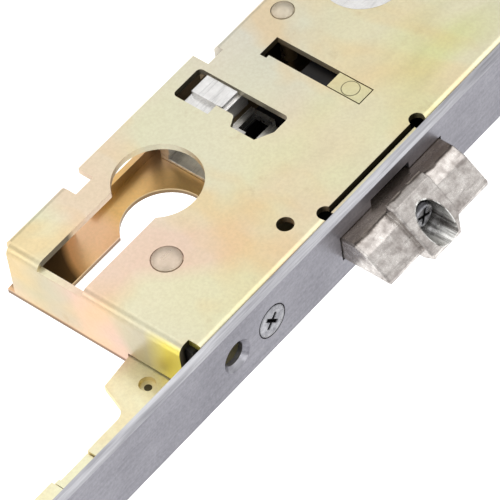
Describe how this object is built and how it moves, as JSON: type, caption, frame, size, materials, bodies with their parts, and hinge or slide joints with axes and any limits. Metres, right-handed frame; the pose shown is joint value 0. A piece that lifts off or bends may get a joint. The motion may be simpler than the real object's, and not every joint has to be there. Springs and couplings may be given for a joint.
{
  "type": "multipoint door lock",
  "caption": "Multipoint door lock: long face plate, dual-spindle centre case with latch and cylinder keyhole, sliding rails and swinging hooks at both ends.",
  "frame": {"origin": "axis of the profile cylinder hole at mid thickness of the case", "axes": "+X up the door along the face plate, +Y into the door leaf away from the face plate, +Z through the case thickness towards its cover"},
  "size_m": [0.61, 0.0638, 0.016],
  "materials": {
    "faceplate_steel": "satin",
    "passivated_steel": "yellow passivated zinc plate, satin",
    "base_steel": "yellow passivated zinc plate, satin",
    "yellow_steel": "yellow passivated zinc plate, satin",
    "zinc_casting": "raw die casting",
    "latch_casting": "plated die casting, satin",
    "rivet_steel": "plated, satin",
    "screw_steel": "bright zinc plate",
    "spring_steel": "drawn wire and strip",
    "hook_steel": "bright zinc plate",
    "black_moulding": "moulded"
  },
  "bodies": {
    "frame": {"faceplate": "faceplate_steel", "case_cover": "passivated_steel", "case_base": "base_steel", "case_rivets": "rivet_steel", "case_screws": "screw_steel", "nut_blocks": "zinc_casting", "slide_guide": "black_moulding", "corner_spacer": "black_moulding", "detent_spring": "spring_steel", "rail_guides": "zinc_casting", "rail_guide_screws": "screw_steel", "lower_hook_pivot": "rivet_steel", "lower_hook_cover": "passivated_steel", "lower_hook_base": "base_steel", "lower_hook_rivets": "rivet_steel", "lower_hook_screws": "screw_steel", "upper_hook_pivot": "rivet_steel", "upper_hook_cover": "passivated_steel", "upper_hook_base": "base_steel", "upper_hook_rivets": "rivet_steel", "upper_hook_screws": "screw_steel"},
    "latch": {"latch_head": "latch_casting", "latch_screw": "screw_steel", "latch_carrier": "black_moulding", "latch_guide_tab": "yellow_steel", "latch_tab_rivet": "yellow_steel"},
    "latch_hub": {"latch_follower": "zinc_casting", "latch_spring": "spring_steel"},
    "drive": {"drive_plate": "yellow_steel", "lower_rail": "yellow_steel", "upper_rail": "yellow_steel", "rail_pins": "rivet_steel"},
    "drive_hub": {"drive_follower": "zinc_casting"},
    "locking": {"lock_slide": "zinc_casting"},
    "lower_hook_body": {"lower_hook": "hook_steel"},
    "upper_hook_body": {"upper_hook": "hook_steel"}
  },
  "joints": [
    {"name": "latch_slide", "type": "slide", "parent": "frame", "child": "latch", "axis": [0, 1, 0], "range_m": [0, 0.0138], "stiffness_N_per_m": 400, "springref_m": -0.025},
    {"name": "latch_follower_turn", "type": "hinge", "parent": "frame", "child": "latch_hub", "pos_m": [0.062, 0, 0], "axis": [0, 0, -1], "range_deg": [0, 34]},
    {"name": "drive_slide", "type": "slide", "parent": "frame", "child": "drive", "axis": [1, 0, 0], "range_m": [0, 0.018]},
    {"name": "drive_follower_turn", "type": "hinge", "parent": "frame", "child": "drive_hub", "pos_m": [0.092, 0, 0], "axis": [0, 0, 1], "range_deg": [0, 44.05]},
    {"name": "lower_hook_turn", "type": "hinge", "parent": "frame", "child": "lower_hook_body", "pos_m": [-0.19, -0.017, 0], "axis": [0, 0, 1], "range_deg": [0, 84]},
    {"name": "upper_hook_turn", "type": "hinge", "parent": "frame", "child": "upper_hook_body", "pos_m": [0.27, -0.017, 0], "axis": [0, 0, 1], "range_deg": [0, 84]},
    {"name": "locking_slide", "type": "slide", "parent": "frame", "child": "locking", "axis": [0, -1, 0], "range_m": [0, 0.0085]}
  ],
  "couplings": [
    {"joint": "latch_follower_turn", "follows": "latch_slide", "rad_per_m": 42.99},
    {"joint": "drive_follower_turn", "follows": "drive_slide", "rad_per_m": 42.71},
    {"joint": "lower_hook_turn", "follows": "drive_slide", "rad_per_m": 81.42},
    {"joint": "upper_hook_turn", "follows": "drive_slide", "rad_per_m": 81.42}
  ]
}
